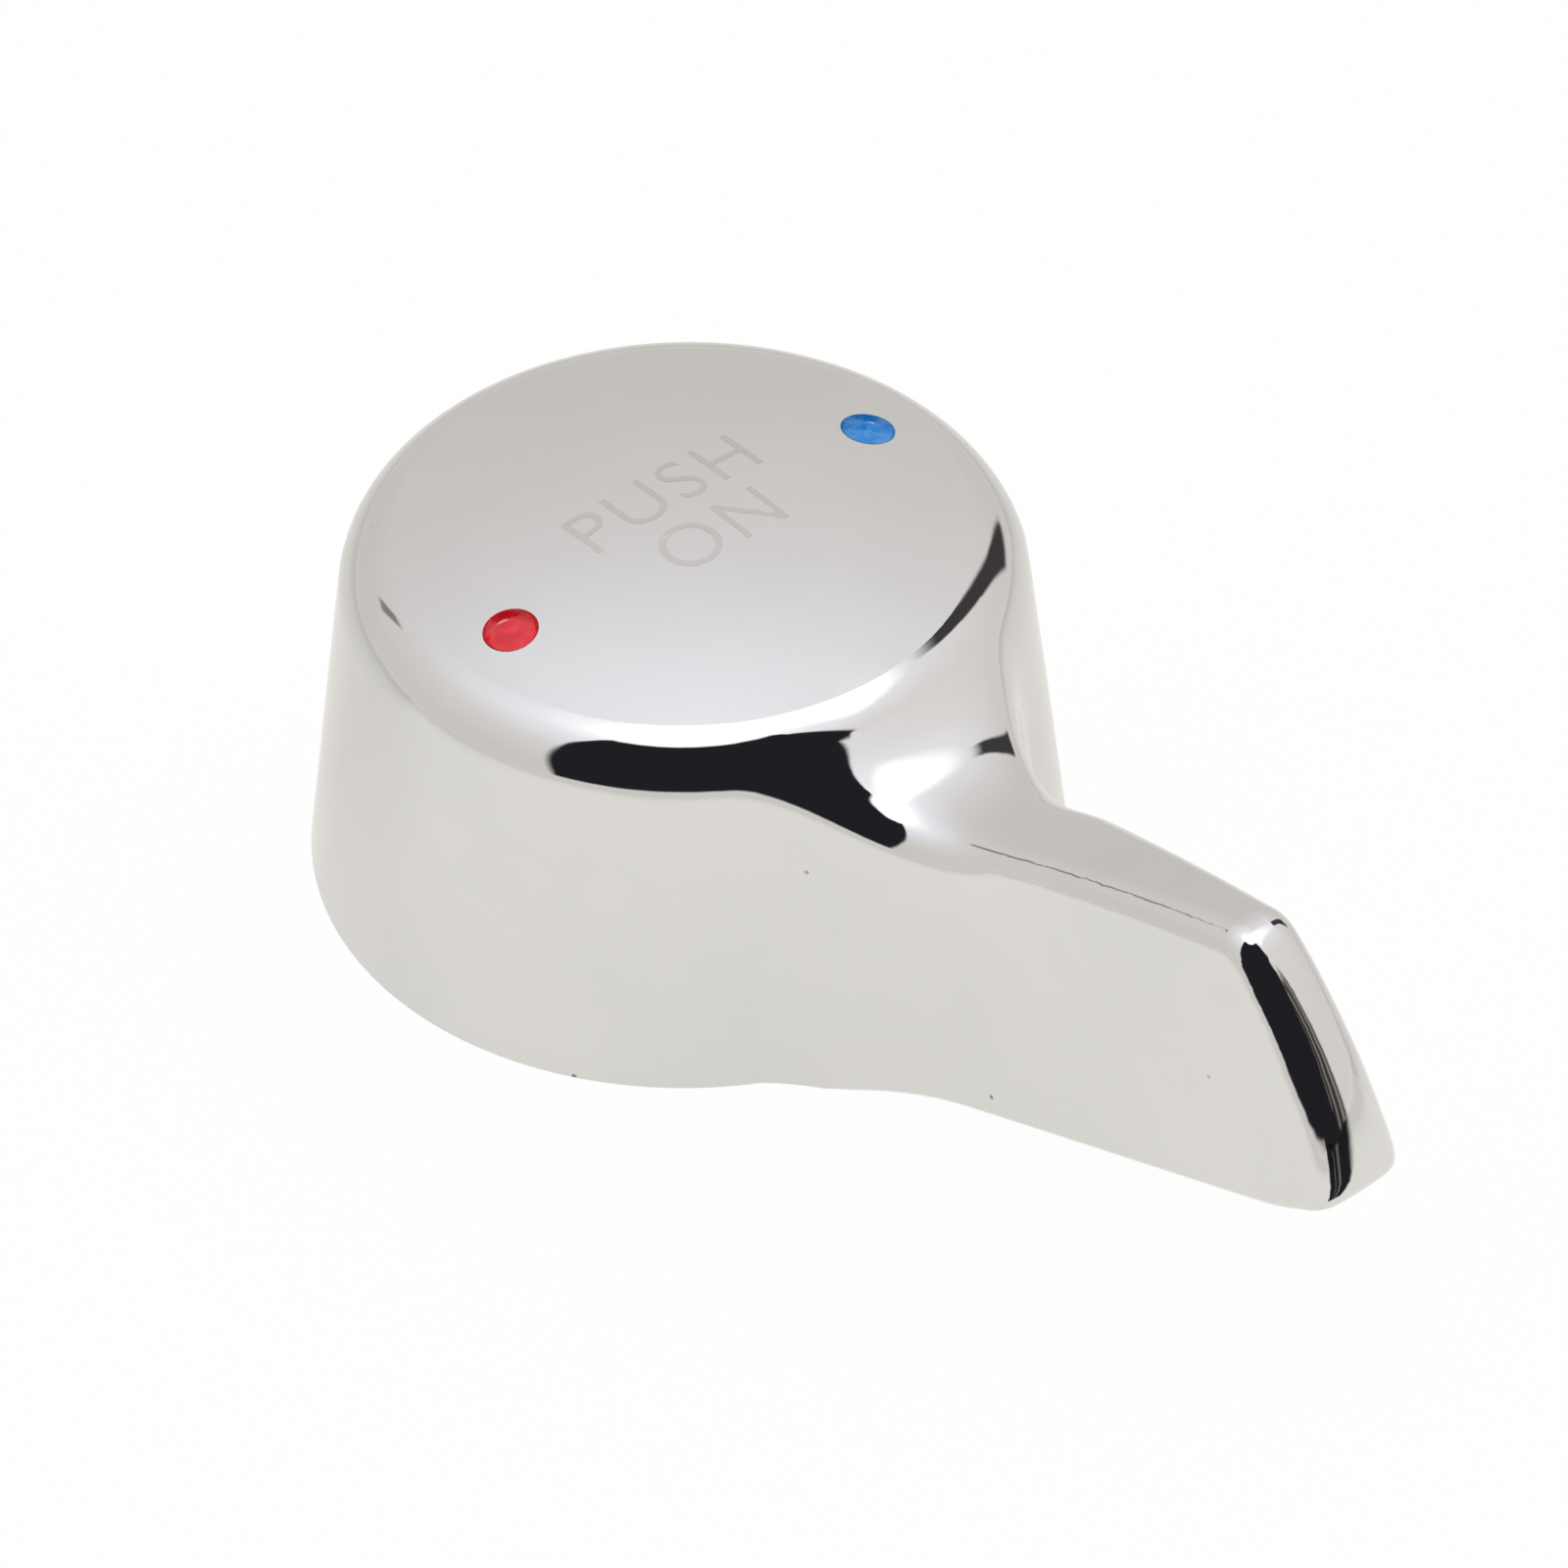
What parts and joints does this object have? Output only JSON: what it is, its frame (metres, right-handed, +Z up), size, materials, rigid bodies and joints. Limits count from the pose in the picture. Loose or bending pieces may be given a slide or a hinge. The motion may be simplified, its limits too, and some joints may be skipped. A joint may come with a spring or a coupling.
{
  "type": "tap handle",
  "caption": "Chrome tap handle: tapered round drum with a domed top, red and blue marks, a raked blade lever, and a hollow underside with a stem socket.",
  "frame": {"origin": "on the stem axis, in the plane of the drum's rim", "axes": "+Z up along the stem axis from the rim to the crown; +X along the lever; +Y towards the cold mark"},
  "size_m": [0.089, 0.05, 0.0279],
  "materials": {
    "chrome": "mirror-bright chrome plate on a die-cast body",
    "hot_enamel": "glossy red enamel filling",
    "cold_enamel": "glossy blue enamel filling",
    "screw_steel": "plain steel grub screw"
  },
  "bodies": {
    "root": {"handle_body": "chrome", "hot_mark": "hot_enamel", "cold_mark": "cold_enamel", "set_screw": "screw_steel"}
  },
  "joints": []
}
